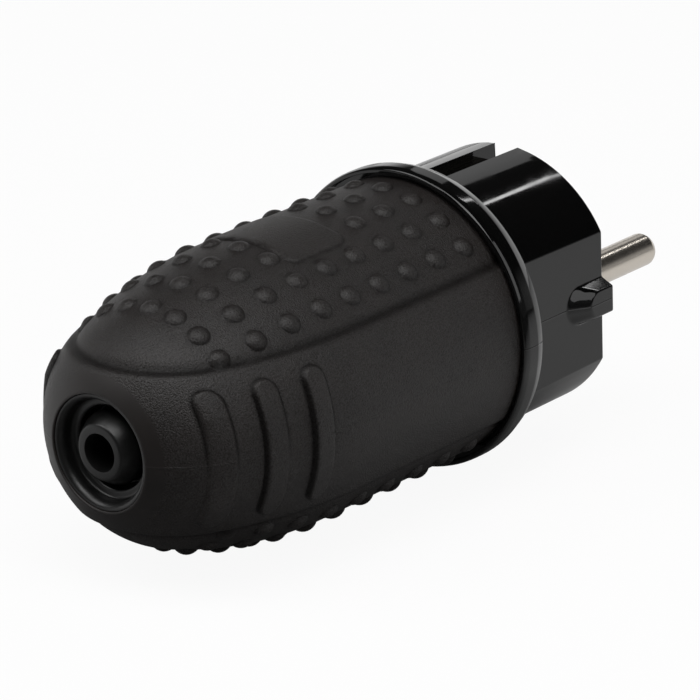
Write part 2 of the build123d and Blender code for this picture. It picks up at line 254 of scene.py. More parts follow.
def moulded_rubber(tint):
    """Charcoal rubber from a spark-eroded mould: a fine grain that breaks up a broad dull sheen.

    The real grain is about 0.1 mm, and is drawn coarse enough to show. The mesh says where the mould was
    polished and left no grain, and where shade is painted, which darkens the colour and the shine.
    """
    made, tree, shader = new_material("moulded_rubber")
    grain, grain_depth, mottle = 0.22 * MM, 0.12 * MM, 6 * MM
    seam_width, seam_height = 0.3 * MM, 0.04 * MM
    place = add(tree, "ShaderNodeTexCoord").outputs["Object"]
    grained = add(tree, "ShaderNodeAttribute", attribute_name="grain").outputs["Fac"]
    fine = add(tree, "ShaderNodeTexNoise", {
        "Vector": place, "Scale": 1 / grain, "Detail": 2, "Roughness": 0.6}).outputs["Fac"]
    wide = add(tree, "ShaderNodeTexNoise", {
        "Vector": place, "Scale": 1 / mottle, "Detail": 2}).outputs["Fac"]
    pale = add(tree, "ShaderNodeMapRange", {
        **NOISE_SPAN, "Value": wide, "To Min": 0.8, "To Max": 1.2}).outputs["Result"]
    # Painted shade: the colour and the shine are darkened where the mesh marks it
    painted_shade = add(tree, "ShaderNodeAttribute", attribute_name="painted_shade").outputs["Fac"]
    painted_shade_factor = add(tree, "ShaderNodeMapRange", {"Value": painted_shade, "To Min": 1, "To Max": 0.4}).outputs["Result"]
    level = add(tree, "ShaderNodeMath", {0: pale, 1: painted_shade_factor}, operation="MULTIPLY").outputs["Value"]
    shade = add(tree, "ShaderNodeHueSaturation", {"Value": level, "Color": (*tint, 1)})
    tree.links.new(shade.outputs["Color"], shader.inputs["Base Color"])
    speck = add(tree, "ShaderNodeMix", {0: grained, 2: 0.5, 3: fine}).outputs[0]
    rough = add(tree, "ShaderNodeMapRange", {
        **NOISE_SPAN, "Value": speck, "To Min": 0.42, "To Max": 0.58}).outputs["Result"]
    tree.links.new(rough, shader.inputs["Roughness"])
    glint = add(tree, "ShaderNodeMapRange", {
        **NOISE_SPAN, "Value": speck, "To Min": 0.3, "To Max": 0.8}).outputs["Result"]
    gloss = add(tree, "ShaderNodeMath", {0: glint, 1: painted_shade_factor}, operation="MULTIPLY").outputs["Value"]
    tree.links.new(gloss, shader.inputs["Specular IOR Level"])
    bump = add(tree, "ShaderNodeBump", {"Strength": grained, "Distance": grain_depth, "Height": fine})
    normal = seam(tree, place, bump.outputs["Normal"], seam_width, seam_height)
    tree.links.new(normal, shader.inputs["Normal"])
    return made


def smooth_rubber(tint):
    """Rubber from a polished mould: a semi-gloss with a faint ripple."""
    made, tree, shader = new_material("smooth_rubber")
    wave, wave_depth = 1.5 * MM, 0.02 * MM
    place = add(tree, "ShaderNodeTexCoord").outputs["Object"]
    ripple = add(tree, "ShaderNodeTexNoise", {
        "Vector": place, "Scale": 1 / wave, "Detail": 2}).outputs["Fac"]
    rough = add(tree, "ShaderNodeMapRange", {
        **NOISE_SPAN, "Value": ripple, "To Min": 0.32, "To Max": 0.4}).outputs["Result"]
    tree.links.new(rough, shader.inputs["Roughness"])
    bump = add(tree, "ShaderNodeBump", {"Strength": 0.3, "Distance": wave_depth, "Height": ripple})
    tree.links.new(bump.outputs["Normal"], shader.inputs["Normal"])
    shader.inputs["Base Color"].default_value = (*tint, 1)
    return made


def gloss_thermoset(tint):
    """Pressed gloss thermoset: sharp reflections with a faint ripple, and a fine seam from the mould."""
    made, tree, shader = new_material("gloss_thermoset")
    wave, wave_depth = 4 * MM, 0.03 * MM
    seam_width, seam_height = 0.2 * MM, 0.03 * MM
    place = add(tree, "ShaderNodeTexCoord").outputs["Object"]
    ripple = add(tree, "ShaderNodeTexNoise", {
        "Vector": place, "Scale": 1 / wave, "Detail": 3}).outputs["Fac"]
    rough = add(tree, "ShaderNodeMapRange", {
        **NOISE_SPAN, "Value": ripple, "To Min": 0.05, "To Max": 0.11}).outputs["Result"]
    tree.links.new(rough, shader.inputs["Roughness"])
    bump = add(tree, "ShaderNodeBump", {"Strength": 0.15, "Distance": wave_depth, "Height": ripple})
    normal = seam(tree, place, bump.outputs["Normal"], seam_width, seam_height)
    tree.links.new(normal, shader.inputs["Normal"])
    shader.inputs["Base Color"].default_value = (*tint, 1)
    return made


def plated_metal(name, tint, across, line, low, high):
    """Bright plate over tool lines, drawn coarse enough to show, that follow each other across one axis.

    Across X (0) they are the rings of a lathe, and across Y (1) the lines of rolled strip.
    """
    made, tree, shader = new_material(name)
    line_length, line_depth = 25 * MM, 0.01 * MM
    scale = [1 / line_length] * 3
    scale[across] = 1 / line
    place = add(tree, "ShaderNodeTexCoord").outputs["Object"]
    stretched = add(tree, "ShaderNodeMapping", {"Vector": place, "Scale": scale}).outputs["Vector"]
    lines = add(tree, "ShaderNodeTexNoise", {
        "Vector": stretched, "Scale": 1.0, "Detail": 3}).outputs["Fac"]
    rough = add(tree, "ShaderNodeMapRange", {
        **NOISE_SPAN, "Value": lines, "To Min": low, "To Max": high}).outputs["Result"]
    tree.links.new(rough, shader.inputs["Roughness"])
    bump = add(tree, "ShaderNodeBump", {"Strength": 0.03, "Distance": line_depth, "Height": lines})
    tree.links.new(bump.outputs["Normal"], shader.inputs["Normal"])
    shader.inputs["Base Color"].default_value = (*tint, 1)
    shader.inputs["Metallic"].default_value = 1.0
    return made


def matt_nylon(tint):
    """Moulded nylon: dull, with a fine even texture."""
    made, tree, shader = new_material("matt_nylon")
    grain, grain_depth = 0.3 * MM, 0.03 * MM
    place = add(tree, "ShaderNodeTexCoord").outputs["Object"]
    fine = add(tree, "ShaderNodeTexNoise", {
        "Vector": place, "Scale": 1 / grain, "Detail": 2}).outputs["Fac"]
    bump = add(tree, "ShaderNodeBump", {"Strength": 0.4, "Distance": grain_depth, "Height": fine})
    tree.links.new(bump.outputs["Normal"], shader.inputs["Normal"])
    shader.inputs["Base Color"].default_value = (*tint, 1)
    shader.inputs["Roughness"].default_value = 0.6
    return made


def deselect():
    """Leaves edit mode with nothing selected."""
    if bpy.context.mode != "OBJECT":
        bpy.ops.object.mode_set(mode="OBJECT")
    bpy.ops.object.select_all(action="DESELECT")


def draw_profile(name, points):
    """Starts a piece as a line through (x, radius) points, one vertex extruded from point to point."""
    deselect()
    bpy.ops.mesh.primitive_plane_add(size=MM)
    piece = bpy.context.object
    piece.name = piece.data.name = name
    bpy.ops.object.mode_set(mode="EDIT")
    bpy.ops.mesh.merge(type="CENTER")
    bpy.ops.transform.translate(value=(points[0][0], 0, points[0][1]))
    for (x0, r0), (x1, r1) in zip(points, points[1:]):
        bpy.ops.mesh.extrude_vertices_move(TRANSFORM_OT_translate={"value": (x1 - x0, 0, r1 - r0)})
    return piece


def pick(kind, test):
    """Selects the vertices, edges or faces of the piece in edit mode that pass a test."""
    bpy.ops.mesh.select_mode(type=kind)
    bpy.ops.mesh.select_all(action="DESELECT")
    mesh = bmesh.from_edit_mesh(bpy.context.object.data)
    for part in {"VERT": mesh.verts, "EDGE": mesh.edges, "FACE": mesh.faces}[kind]:
        if test(part):
            part.select_set(True)
    mesh.select_flush(True)
    bmesh.update_edit_mesh(bpy.context.object.data)


def round_profile(corners, radius, segments):
    """Rounds the named corners of a drawn profile, given as (x, radius) points."""
    wanted = [Vector((x, 0, r)) for x, r in corners]
    pick("VERT", lambda v: any((v.co - w).length < radius / 10 for w in wanted))
    bpy.ops.mesh.bevel(
        offset=radius, offset_type="OFFSET", affect="VERTICES", segments=segments, profile=0.5)


def spin_profile(sectors):
    """Turns the profile about X through sectors of (angle, steps), then closes the seam."""
    bpy.ops.mesh.select_all(action="SELECT")
    for turn, steps in sectors:
        bpy.ops.mesh.spin(steps=steps, angle=turn, center=(0, 0, 0), axis=(1, 0, 0))
    bpy.ops.mesh.select_all(action="SELECT")
    bpy.ops.mesh.remove_doubles(threshold=MERGE)
    bpy.ops.mesh.normals_make_consistent(inside=False)


def copy_of(node, name):
    """Starts a piece as a copy of a frame node, its loose triangles merged into whole faces."""
    deselect()
    piece = bpy.data.objects.new(name, frame["nodes"][node].data.copy())
    bpy.context.collection.objects.link(piece)
    piece.data.materials.clear()
    piece.select_set(True)
    bpy.context.view_layer.objects.active = piece
    bpy.ops.object.mode_set(mode="EDIT")
    bpy.ops.mesh.customdata_custom_splitnormals_clear()
    bpy.ops.mesh.select_all(action="SELECT")
    bpy.ops.mesh.remove_doubles(threshold=MERGE)
    bpy.ops.mesh.dissolve_limited(angle_limit=math.radians(0.4))
    return piece


def soften(radius, sharp, test=lambda place: True, segments=2):
    """Rounds the sharp edges of the piece in edit mode whose two ends pass a test of their place."""
    pick("EDGE", lambda e: len(e.link_faces) == 2 and e.calc_face_angle() > math.radians(sharp)
         and all(test(v.co) for v in e.verts))
    bpy.ops.mesh.bevel(offset=radius, affect="EDGES", segments=segments, profile=0.5, clamp_overlap=False)


def finish_piece(piece, material, node, smooth):
    """Shades a piece, smooth up to an angle, gives it its material and stands it in for its frame node."""
    if bpy.context.mode != "OBJECT":
        bpy.ops.object.mode_set(mode="OBJECT")
    bpy.ops.object.shade_smooth_by_angle(angle=math.radians(smooth))
    bpy.ops.object.modifier_add(type="WEIGHTED_NORMAL")
    piece.modifiers["WeightedNormal"].keep_sharp = True
    bpy.ops.object.modifier_apply(modifier="WeightedNormal")
    piece.data.materials.append(material)
    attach(piece, BODY)
    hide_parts(node)


class HoodForm:
    """The hood's outside: a straight run, a long crown arc and a round nose, revolved, with its relief."""

    # Mesh steps: across a bump's cell, rings within a bump, along the nose, before the first bump
    cell_steps = 18
    rings = 6
    nose_steps = 36
    lead_steps = 8
    # Mesh steps round the hood, beside the dotted panels
    crease_turn = math.radians(11.25)
    crease_steps = 12
    side_steps = 40
    # How strongly mesh lines are gathered at an edge, where 0 leaves them
    gathering = 0.7
    # Columns of bumps, and rows beside the middle one, that the bare plate takes the place of
    plate_columns = (3, 4)
    plate_rows = 1
    # How much shade is painted at a bump's foot and the plate's edge, where a crease is 1
    bump_shade = 0.45
    plate_shade = 0.7
    # Width over which the grain sets in, outside the smooth ring
    grain_edge = 0.5 * MM

    def __init__(self, size):
        low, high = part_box("hood")
        self.size = size
        self.end_x, self.nose_x = high.x, low.x
        self.crown_x = self.end_x - size.straight
        crown_end_x = self.crown_x - size.crown_radius * math.sin(size.crown_angle)
        crown_end_r = size.radius - size.crown_radius * (1 - math.cos(size.crown_angle))
        self.nose_middle_x = crown_end_x + size.nose_radius * math.sin(size.crown_angle)
        self.nose_middle_r = crown_end_r - size.nose_radius * math.cos(size.crown_angle)
        self.first_x = self.end_x - size.bump_start
        self.cells_x = self.first_x + size.bump_pitch / 2
        self.cells_end_x = self.cells_x - size.bump_columns * size.bump_pitch

    def station(self, x):
        """Radius and slope of the outside at x, for one place or an array of them."""
        size = self.size
        crown = np.arcsin(np.clip((self.crown_x - x) / size.crown_radius, 0, 1))
        nose = np.arcsin(np.clip((self.nose_middle_x - x) / size.nose_radius, 0, 1))
        on_crown = crown <= size.crown_angle
        radius = np.where(
            on_crown,
            size.radius - size.crown_radius * (1 - np.cos(crown)),
            self.nose_middle_r + size.nose_radius * np.cos(nose))
        return radius, np.where(on_crown, crown, nose)

    def outside(self):
        """Points of the outside's profile, on the lines of the bump lattice where it has one."""
        cells = self.size.bump_columns * self.cell_steps
        lead = np.linspace(self.end_x, self.cells_x, self.lead_steps, endpoint=False)
        lattice = np.linspace(self.cells_x, self.cells_end_x, cells, endpoint=False)
        start = math.asin((self.nose_middle_x - self.cells_end_x) / self.size.nose_radius)
        stop = math.asin((self.nose_middle_x - self.nose_x) / self.size.nose_radius)
        slopes = np.linspace(start, stop, self.nose_steps)
        nose = self.nose_middle_x - self.size.nose_radius * np.sin(slopes)
        x = np.concatenate([lead, lattice, nose])
        return list(zip(x.tolist(), self.station(x)[0].tolist()))

    def inside(self):
        """Points of the mouth, the grommet's seat and the bore, from the nose back to the hood's end."""
        size = self.size
        rim, seat_x = size.mouth_rim, self.nose_x + size.nose_block
        near = self.end_x - size.bead_place + size.bead_width / 2
        far = near - size.bead_width
        return [
            (self.nose_x + rim / 3, size.mouth + rim / 3),
            (self.nose_x + rim, size.mouth),
            (seat_x, size.mouth),
            (seat_x, size.cavity_end),
            (self.crown_x, size.bore),
            (far, size.bore),
            (far, size.bead),
            (near, size.bead),
            (near, size.bore),
            (self.end_x, size.bore),
        ]

    def sectors(self):
        """Turns of the spin: fine over the dotted panels and creases, coarser over the side panels."""
        size = self.size
        panel = (2 * size.bump_rows + 1) * size.bump_row
        steps = (2 * size.bump_rows + 1) * self.cell_steps
        crease = (self.crease_turn, self.crease_steps)
        side = math.pi - panel - 2 * self.crease_turn
        beside = [crease, (side, self.side_steps), crease]
        return [(panel / 2, steps // 2), *beside, (panel, steps), *beside, (panel / 2, steps // 2)]

    def bar_place(self, x, z):
        """Place on the nearest finger bar.

        Gives the bar's number, the distance from its middle towards the flange, the distance inside its
        edge, and the way in from that edge along X and Z.
        """
        size = self.size
        first_x = self.nose_x + size.bar_start
        number = np.clip(np.round((x - first_x) / size.bar_pitch), 0, size.bar_count - 1)
        across = x - first_x - number * size.bar_pitch
        core = (size.bar_length - size.bar_width) / 2
        beyond = z - np.clip(z, -core, core)
        far = np.maximum(np.hypot(across, beyond), MERGE)
        return number, across, size.bar_width / 2 - far, -across / far, -beyond / far

    def drawn_in(self, inset):
        """How far in, or out where negative, points move to be gathered at an edge they lie inset from."""
        share = np.minimum(np.abs(inset) / self.size.gather, 1)
        return inset * (share ** self.gathering - 1)

    def gathered(self, x, turn):
        """Gathers points of the side panels at the edges of the finger bars, which makes them crisp."""
        size = self.size
        z = self.station(x)[0] * np.cos(turn)
        _, _, inset, way_x, way_z = self.bar_place(x, z)
        beside = (np.abs(turn) > (size.bump_rows + 0.5) * size.bump_row) | (x < self.cells_end_x)
        moves = beside & (np.abs(inset) < size.gather)
        shift = np.where(moves, self.drawn_in(inset), 0)
        x = x + shift * way_x
        near = np.clip((z + shift * way_z) / self.station(x)[0], -1, 1)
        return x, np.where(moves, np.sign(turn) * np.arccos(near), turn)

    def plate_place(self, x, turn):
        """Distances along and round the hood from the bare plate's middle, and how far inside its edge."""
        size = self.size
        along = x - (self.end_x - size.plate_start - size.plate_length / 2)
        around = turn * size.radius
        inset = rounded_box(along, around, size.plate_length, size.plate_width, size.plate_corner)
        return along, around, inset

    def gathered_to_plate(self, x, turn, free):
        """Gathers free points at the edge of the bare plate, which makes it crisp."""
        size = self.size
        along, around, inset = self.plate_place(x, turn)
        shift = np.where(free, self.drawn_in(inset), 0)
        past_end = np.maximum(np.abs(along) - size.plate_length / 2 + size.plate_corner, 0)
        past_side = np.maximum(np.abs(around) - size.plate_width / 2 + size.plate_corner, 0)
        shift = shift / np.maximum(np.hypot(past_end, past_side), MERGE)
        x = x - np.sign(along) * past_end * shift
        return x, turn - np.sign(around) * past_side * shift / size.radius

    def bumped(self, x, turn, lower):
        """Moves lattice points onto rings round their bumps.

        Gives their places, heights and distances from the bumps. turn is the angle from the middle of the
        panel. A square ring of the lattice becomes a circle within the bump's foot, and eases back to the
        square at the edge of its cell.
        """
        size = self.size
        column = np.round((self.first_x - x) / size.bump_pitch)
        row = np.round(turn / size.bump_row)
        middle_x = self.first_x - column * size.bump_pitch
        along = (middle_x - x) / (size.bump_pitch / 2)
        across = (turn - row * size.bump_row) / (size.bump_row / 2)
        bare = ~lower & np.isin(column, self.plate_columns) & (np.abs(row) <= self.plate_rows)
        in_cell = (column >= 0) & (column < size.bump_columns) & (np.abs(row) <= size.bump_rows) & ~bare
        ring = np.maximum(np.abs(along), np.abs(across)) * self.cell_steps / 2
        with np.errstate(divide="ignore", invalid="ignore"):
            wide = np.abs(along) >= np.abs(across)
            lean = np.where(wide, across / along, along / across) * math.pi / 4
        lean = np.nan_to_num(lean)
        bearing = np.where(wide, lean + np.where(along < 0, math.pi, 0),
                           math.pi / 2 - lean + np.where(across < 0, math.pi, 0))
        radius, slope = self.station(middle_x)
        foot = size.bump_radius
        reach = np.where(ring <= self.rings, foot * np.sin(math.pi / 2 * np.minimum(ring / self.rings, 1)),
                         foot + size.bump_foot * np.minimum(ring - self.rings, 1))
        outer = self.cell_steps / 2
        ease = np.clip((ring - self.rings - 1) / (outer - self.rings - 1), 0, 1)
        du = (1 - ease) * reach * np.cos(bearing) + ease * along * size.bump_pitch / 2 / np.cos(slope)
        dv = (1 - ease) * reach * np.sin(bearing) + ease * across * size.bump_row / 2 * radius
        x = np.where(in_cell, middle_x - du * np.cos(slope), x)
        turn = np.where(in_cell, row * size.bump_row + dv / radius, turn)
        ball = (foot ** 2 + size.bump_height ** 2) / (2 * size.bump_height)
        cap = np.sqrt(np.maximum(ball ** 2 - reach ** 2, 0)) - (ball - size.bump_height)
        height = np.where(in_cell & (ring <= self.rings), np.maximum(cap, 0), 0)
        return x, turn, height, np.where(in_cell, np.hypot(du, dv), size.bump_pitch)

    def raised(self, x, y, z):
        """Height of the panels, the bare plate and the finger bars at points of the outside."""
        size = self.size
        beyond = np.abs(z) - size.crease
        height = -size.panel_drop * smooth_step(beyond / size.crease_width + 0.5)
        valley = np.exp(-((beyond - size.valley_width) / size.valley_width) ** 2)
        height = height - size.valley_depth * valley
        inset = self.plate_place(x, np.arctan2(y, np.abs(z)))[2]
        height = height + np.where(z > 0, size.plate_height * smooth_step(inset / size.plate_edge), 0)
        number, across, inset, way_x, _ = self.bar_place(x, z)
        lead = -across / (size.bar_width / 2)
        dip = size.first_dip * np.clip(1 - (z / size.first_dip_reach) ** 2, 0, 1) * (1 + lead) / 2
        top = size.bar_height + size.bar_lean * lead - np.where(number == 0, dip, 0)
        edge = size.bar_edge + (size.bar_slope - size.bar_edge) * np.clip(way_x, 0, 1) ** 2
        return height + top * np.sin(np.clip(inset / edge, 0, 1) * math.pi / 2)

    def painted_shade_at(self, x, turn, z, apart):
        """How much shade is painted at points, from 0 to 1: darker colour and weaker shine.

        These are the creases, the feet of bumps, bars and plate, and the bars' walls towards the nose, apart
        from the first bar's. A bar's foot counts on its upper half alone. apart is the distance from the
        nearest bump's middle.
        """
        size = self.size
        # Painted shade along the creases, at the feet and on the bars' walls towards the nose
        crease = np.exp(-((np.abs(z) - size.crease - size.shade_width / 2) / size.shade_width) ** 2)
        number, _, inset, way_x, _ = self.bar_place(x, z)
        foot = np.exp(-(inset / size.shade_foot) ** 2) * np.clip(0.5 + z / size.bar_width, 0, 1)
        wall = np.where(number > 0, smooth_step(4 * way_x - 3), 0) * smooth_step(inset / size.shade_foot + 1)
        wall = wall * smooth_step((size.bar_slope - inset) / size.shade_foot)
        ring = self.bump_shade * np.exp(-((apart - size.bump_radius) / size.shade_foot) ** 2)
        outline = np.exp(-(self.plate_place(x, turn)[2] / size.shade_foot) ** 2)
        outline = np.where(z > 0, self.plate_shade * outline, 0)
        return np.max([crease, foot, wall, ring, outline], axis=0)

    def relief(self, mesh):
        """Moves the spun outside to its panels, bumps, plate and bars, and marks its grain and its painted
        shade.
        """
        count = len(mesh.vertices)
        place = np.empty(count * 3)
        mesh.vertices.foreach_get("co", place)
        place = place.reshape(-1, 3)
        x, radius = place[:, 0], np.hypot(place[:, 1], place[:, 2])
        skin = np.abs(radius - self.station(x)[0]) < SAME
        lower = place[:, 2] < 0
        side = np.where(lower, -1, 1)
        turn = np.arctan2(place[:, 1], side * place[:, 2])
        x, turn = self.gathered(x, turn)
        x, turn, height, apart = self.bumped(x, turn, lower)
        x, turn = self.gathered_to_plate(x, turn, ~lower & (height == 0))
        base, slope = self.station(x)
        y, z = base * np.sin(turn), side * base * np.cos(turn)
        height = height + self.raised(x, y, z)
        out = base + height * np.cos(slope)
        moved = [x - height * np.sin(slope), out * np.sin(turn), side * out * np.cos(turn)]
        place = np.where(skin[:, None], np.stack(moved, axis=1), place)
        mesh.vertices.foreach_set("co", place.ravel())
        marks = {
            "grain": smooth_step((base - self.size.smooth_ring) / self.grain_edge),
            # Where shade is painted on the rubber's colour and shine
            "painted_shade": self.painted_shade_at(x, turn, z, apart),
        }
        for name, values in marks.items():
            mark = mesh.attributes.new(name, "FLOAT", "POINT")
            mark.data.foreach_set("value", np.where(skin, values, 0).astype(np.float32))
        mesh.update()


def smooth_step(t):
    """Eases from 0 to 1 as t goes from 0 to 1."""
    t = np.clip(t, 0, 1)
    return t * t * (3 - 2 * t)


def rounded_box(u, v, along, across, corner):
    """Distance inside a rounded rectangle's edge, negative outside it."""
    du, dv = np.abs(u) - (along / 2 - corner), np.abs(v) - (across / 2 - corner)
    return corner - np.hypot(np.maximum(du, 0), np.maximum(dv, 0)) - np.minimum(np.maximum(du, dv), 0)


class PLUG_OT_hood(bpy.types.Operator):
    """Model the rubber hood with its panels, grip bumps, finger bars and bare plate"""
    bl_idname = "plug.hood"
    bl_label = "Rubber hood"

    def execute(self, context):
        form = HoodForm(context.scene.plug_hood)
        piece = draw_profile("rubber_hood", form.outside() + form.inside())
        ends = [Vector((form.end_x, 0, r)) for r in (form.size.radius, form.size.bore)]
        pick("VERT", lambda v: any((v.co - e).length < SAME for e in ends))
        bpy.ops.mesh.edge_face_add()
        spin_profile(form.sectors())
        bpy.ops.object.mode_set(mode="OBJECT")
        form.relief(piece.data)
        rubber = moulded_rubber(context.scene.plug_finishes.hood_rubber)
        finish_piece(piece, rubber, "hood", smooth=62)
        return {"FINISHED"}


class PLUG_OT_grommet(bpy.types.Operator):
    """Model the cable grommet with its stepped funnel and sleeve"""
    bl_idname = "plug.grommet"
    bl_label = "Cable grommet"
    mouth_steps = 10
    turns = 144
    round_steps = 4

    def execute(self, context):
        size = context.scene.plug_front
        nose_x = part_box("hood")[0].x
        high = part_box("cable_grommet")[1]
        outer = size.grommet
        rim_x = nose_x + size.rim_back
        floor_x = rim_x + size.funnel
        trough_x = floor_x + size.trough
        floor_r = outer - size.funnel_wall
        trough_r = floor_r - size.ledge - size.trough_draft
        seat_x = high.x - size.collar
        lip_x = nose_x + size.lip_back
        points = [
            (rim_x, outer - size.rim),
            (rim_x, outer),
            (seat_x, outer),
            (seat_x, high.z),
            (high.x, high.z),
            (high.x, size.hole),
            (lip_x, size.hole),
        ]
        lip_r, foot_r = size.hole + size.lip, trough_r - size.trough_width
        flank = [
            (lip_x, lip_r),
            (lip_x + size.flank, foot_r),
        ]
        groove = [
            (trough_x, foot_r),
            (trough_x, trough_r),
            (floor_x, trough_r + size.trough_draft),
            (floor_x, floor_r),
        ]
        mouth_r, mouth_round = outer - size.rim, size.mouth_wall - size.rim
        mouth = [
            (rim_x + size.mouth_depth * (1 - math.cos(t)), mouth_r - mouth_round * math.sin(t))
            for t in np.linspace(math.pi / 2, 0, self.mouth_steps, endpoint=False)]
        profile = points + flank + groove + mouth
        piece = draw_profile("cable_grommet_sleeve", profile)
        pick("VERT", lambda v: v.index in (0, len(profile) - 1))
        bpy.ops.mesh.edge_face_add()
        round_profile(flank, size.flank_edge, self.round_steps)
        round_profile(groove, size.ledge_edge, self.round_steps)
        spin_profile([(TURN, self.turns)])
        rubber = smooth_rubber(context.scene.plug_finishes.grommet_rubber)
        finish_piece(piece, rubber, "cable_grommet", smooth=50)
        return {"FINISHED"}


class PLUG_OT_carrier(bpy.types.Operator):
    """Finish the contact carrier with its tapered flange and rounded edges"""
    bl_idname = "plug.carrier"
    bl_label = "Contact carrier"
    round_steps = 5
    # Depth below the flange's radius that still counts as its outside
    skin = 0.5 * MM
    # Width of the flange's brim, and how far below the flange's radius the barrel's edges lie at least
    brim = 0.75 * MM
    flange_step = 1.2 * MM
    # Room behind, beside and below the earth slot's stated opening
    slot_room = (0.3 * MM, 0.2 * MM, 1.5 * MM)
    # Edges that turn by more degrees than this are rounded
    sharp = 25

    def shape_flange(self, mesh, passage_r, outer, size):
        """Draws the flange's front out, and moves its outside onto rounds and a taper.

        The seats inside passage_r, where the earth strip comes through, lie in the same plane and stay.
        """
        inner = outer - self.skin
        drawn = bmesh.from_edit_mesh(mesh).verts
        places = [v.co.x for v in drawn if v.co.yz.length > inner]
        back, plain_front = min(places), max(places)
        for v in drawn:
            if abs(v.co.x - plain_front) < SAME and v.co.yz.length > passage_r:
                v.co.x += size.flange_growth
        front = plain_front + size.flange_growth
        taper_x = front - size.flange_taper
        cuts = [taper_x + size.flange_edge * t for t in (-1, -0.5, 0, 0.5, 1)]
        for turn in np.linspace(0, math.pi / 2, self.round_steps + 1)[1:]:
            share = 1 - math.cos(turn)
            cuts += [back + size.flange_back * share, front - size.flange_edge * share]
        for x in cuts:
            pick("FACE", lambda f: all(v.co.yz.length > inner for v in f.verts))
            bpy.ops.mesh.bisect(plane_co=(x, 0, 0), plane_no=(1, 0, 0))
        for v in bmesh.from_edit_mesh(mesh).verts:
            radius = v.co.yz.length
            if radius > inner:
                v.co.yz *= (outer - self.flange_fall(v.co.x, back, taper_x, front, size)) / radius
        bmesh.update_edit_mesh(mesh)

    def flange_fall(self, x, back, taper_x, front, size):
        """How far the flange's outside lies below its full radius at x."""
        edge, slope = size.flange_edge, size.flange_drop / size.flange_taper
        rise = max(0, 1 - (x - back) / size.flange_back)
        fall = max(0, 1 - (front - x) / edge)
        past = x - taper_x
        run = max(0, past) if abs(past) > edge else (past + edge) ** 2 / (4 * edge)
        return (slope * run + size.flange_back_drop * (1 - math.sqrt(1 - rise ** 2))
                + edge * (1 - math.sqrt(1 - fall ** 2)))

    def execute(self, context):
        size = context.scene.plug_front
        piece = copy_of("contact_carrier", "gloss_carrier")
        flange_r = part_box("contact_carrier")[1].z
        (slot_x, _, slot_z), (_, slot_y, _) = frame["record"]["physics"]["openings"][0]["box_m"]
        self.shape_flange(piece.data, slot_z, flange_r, size)
        front_x = slot_x - self.slot_room[0]
        beside_y, below_z = slot_y + self.slot_room[1], slot_z - self.slot_room[2]
        brim_r, barrel_r = flange_r - self.brim, flange_r - self.flange_step

        def on_brim(co):
            return co.x < front_x and abs(co.yz.length - brim_r) < 2 * SAME

        def in_slot(co):
            return front_x < co.x and abs(co.y) < beside_y and below_z < abs(co.z) < barrel_r

        def on_barrel(co):
            beside = abs(co.y) > beside_y and below_z < co.yz.length < barrel_r
            return front_x < co.x and (beside or co.x > -SAME)

        soften(size.brim_edge, self.sharp, on_brim)
        soften(size.slot_edge, self.sharp, in_slot)
        soften(size.edge, self.sharp, on_barrel)
        plastic = gloss_thermoset(context.scene.plug_finishes.carrier_plastic)
        finish_piece(piece, plastic, "contact_carrier", smooth=50)
        return {"FINISHED"}


class PLUG_OT_pins(bpy.types.Operator):
    """Turn the two contact pins"""
    bl_idname = "plug.pins"
    bl_label = "Contact pins"
    sharp = 25
    tip_length = 1.2 * MM
    tip_steps = 3

    def execute(self, context):
        tint = context.scene.plug_finishes.pin_nickel
        nickel = plated_metal("nickel_plated_brass", tint, across=0, line=0.25 * MM, low=0.24, high=0.27)
        for node in ("left_pin", "right_pin"):
            piece = copy_of(node, node + "_turned")
            tip_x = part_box(node)[1].x - self.tip_length
            soften(context.scene.plug_front.pin_tip, self.sharp, lambda co: co.x > tip_x, self.tip_steps)
            finish_piece(piece, nickel, node, smooth=40)
        return {"FINISHED"}


class PLUG_OT_bracket(bpy.types.Operator):
    """Finish the earth bracket with softened edges"""
    bl_idname = "plug.bracket"
    bl_label = "Earth bracket"
    sharp = 40

    def execute(self, context):
        tint = context.scene.plug_finishes.strip_nickel
        piece = copy_of("earth_bracket", "earth_strip")
        soften(context.scene.plug_front.strip_edge, self.sharp)
        nickel = plated_metal("nickel_plated_strip", tint, across=1, line=0.25 * MM, low=0.2, high=0.3)
        finish_piece(piece, nickel, "earth_bracket", smooth=30)
        return {"FINISHED"}


class PLUG_OT_terminals(bpy.types.Operator):
    """Finish the screws, washers and cord clamp inside"""
    bl_idname = "plug.terminals"
    bl_label = "Terminals and clamp"

    def execute(self, context):
        finishes = context.scene.plug_finishes
        zinc = plated_metal(
            "zinc_plated_steel", finishes.screw_zinc, across=0, line=0.2 * MM, low=0.25, high=0.4)
        materials = {"plated_steel": zinc, "clamp_plastic": matt_nylon(finishes.clamp_plastic)}
        for node, slot in SMALL_PARTS.items():
            mesh = frame["nodes"][node].data
            mesh.materials.clear()
            mesh.materials.append(materials[slot])
        return {"FINISHED"}


